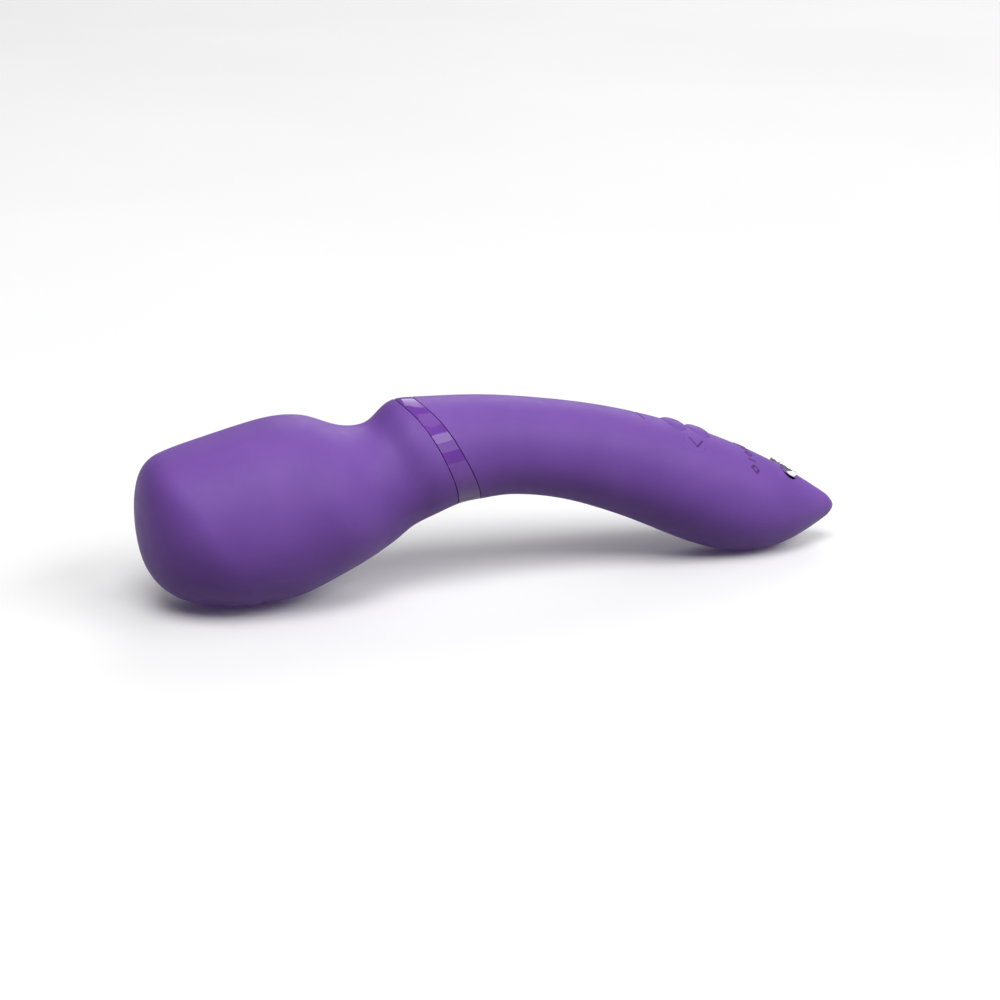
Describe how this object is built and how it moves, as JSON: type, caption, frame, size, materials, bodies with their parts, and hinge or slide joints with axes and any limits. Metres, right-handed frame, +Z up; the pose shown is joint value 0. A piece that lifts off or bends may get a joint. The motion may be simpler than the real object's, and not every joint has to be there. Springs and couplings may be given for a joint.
{
  "type": "handheld wand massager",
  "caption": "Cordless wand massager: round vibrating head on a sprung neck, arched handle with a gloss trim ring, five soft keys and two magnetic charging contacts.",
  "frame": {"origin": "centre of the base of the bounding box, with the wand lying on its head and its handle's belly", "axes": "+X from the head to the tail, +Z up, Y left to right; the outer form is symmetric about the plane y = 0"},
  "size_m": [0.2426, 0.0572, 0.0619],
  "materials": {
    "silicone": "satin soft-touch",
    "key_silicone": "satin soft-touch",
    "gloss_trim": "high gloss",
    "casing": "fine spark texture",
    "steel": "satin",
    "brass": "turned",
    "chrome": "polished",
    "magnet": "sintered",
    "rubber": "matte",
    "circuit_board": "solder mask",
    "chip": "moulded",
    "connector": "moulded",
    "cell": "shrink wrap",
    "led": "clear",
    "wire_red": "smooth",
    "wire_black": "smooth"
  },
  "bodies": {
    "handle": {"handle_sleeve": "silicone", "trim_ring": "gloss_trim", "neck_socket": "casing", "handle_casing_upper": "casing", "handle_casing_lower": "casing", "handle_casing_screw_1": "steel", "handle_casing_screw_2": "steel", "handle_casing_screw_3": "steel", "board_screw_1": "steel", "board_screw_2": "steel", "neck_seat_handle": "steel", "control_chip": "chip", "motor_driver_chip": "chip", "power_switch": "chip", "wave_switch": "chip", "left_switch": "chip", "right_switch": "chip", "front_switch": "chip", "charge_magnet_left": "magnet", "charge_magnet_right": "magnet", "battery_pad_front": "rubber", "battery_pad_rear": "rubber", "main_board": "circuit_board", "contact_carrier": "circuit_board", "motor_connector": "connector", "battery_connector": "connector", "status_led": "led", "battery_cell": "cell", "charge_contact_left": "chrome", "charge_contact_right": "chrome", "motor_lead_red": "wire_red", "battery_lead_red": "wire_red", "motor_lead_black": "wire_black", "battery_lead_black": "wire_black"},
    "neck": {"neck_sleeve": "silicone", "neck_spring": "steel"},
    "head": {"head_sleeve": "silicone", "head_core_left": "casing", "head_core_right": "casing", "head_core_screw_1": "steel", "head_core_screw_2": "steel", "head_core_screw_3": "steel", "head_core_screw_4": "steel", "motor_can": "steel", "motor_end_cap": "chip", "motor_front_bush": "brass", "motor_magnet_ring": "magnet", "motor_damper_front": "rubber", "motor_damper_rear": "rubber", "neck_seat_head": "steel"},
    "rotor": {"motor_shaft": "steel", "motor_armature": "brass", "eccentric_weight": "steel"},
    "power_key": {"power_key": "key_silicone"},
    "wave_key": {"wave_key": "key_silicone"},
    "left_key": {"left_key": "key_silicone"},
    "right_key": {"right_key": "key_silicone"},
    "front_key": {"front_key": "key_silicone"}
  },
  "joints": [
    {"name": "neck_pitch", "type": "hinge", "parent": "handle", "child": "neck", "pos_m": [-0.039, 0, 0.0382], "axis": [0, 1, 0], "range_deg": [-12, 12], "stiffness_Nm_per_rad": 7, "deforming": ["neck_sleeve", "neck_spring", "motor_lead_red", "motor_lead_black"]},
    {"name": "neck_yaw", "type": "hinge", "parent": "neck", "child": "head", "pos_m": [-0.039, 0, 0.0382], "axis": [-0.4651, 0, 0.8852], "range_deg": [-12, 12], "stiffness_Nm_per_rad": 7, "deforming": ["neck_sleeve", "neck_spring", "motor_lead_red", "motor_lead_black"]},
    {"name": "motor_spin", "type": "hinge", "parent": "head", "child": "rotor", "pos_m": [-0.07744, 0, 0.0285], "axis": [0.9506, 0, 0.3104], "continuous": true},
    {"name": "power_press", "type": "slide", "parent": "handle", "child": "power_key", "axis": [-0.3502, 0, -0.9367], "range_m": [0, 0.0006], "stiffness_N_per_m": 1500},
    {"name": "wave_press", "type": "slide", "parent": "handle", "child": "wave_key", "axis": [-0.3502, 0, -0.9367], "range_m": [0, 0.0006], "stiffness_N_per_m": 1500},
    {"name": "left_press", "type": "slide", "parent": "handle", "child": "left_key", "axis": [-0.3502, 0, -0.9367], "range_m": [0, 0.0006], "stiffness_N_per_m": 1500},
    {"name": "right_press", "type": "slide", "parent": "handle", "child": "right_key", "axis": [-0.3502, 0, -0.9367], "range_m": [0, 0.0006], "stiffness_N_per_m": 1500},
    {"name": "front_press", "type": "slide", "parent": "handle", "child": "front_key", "axis": [-0.3502, 0, -0.9367], "range_m": [0, 0.0006], "stiffness_N_per_m": 1500}
  ]
}
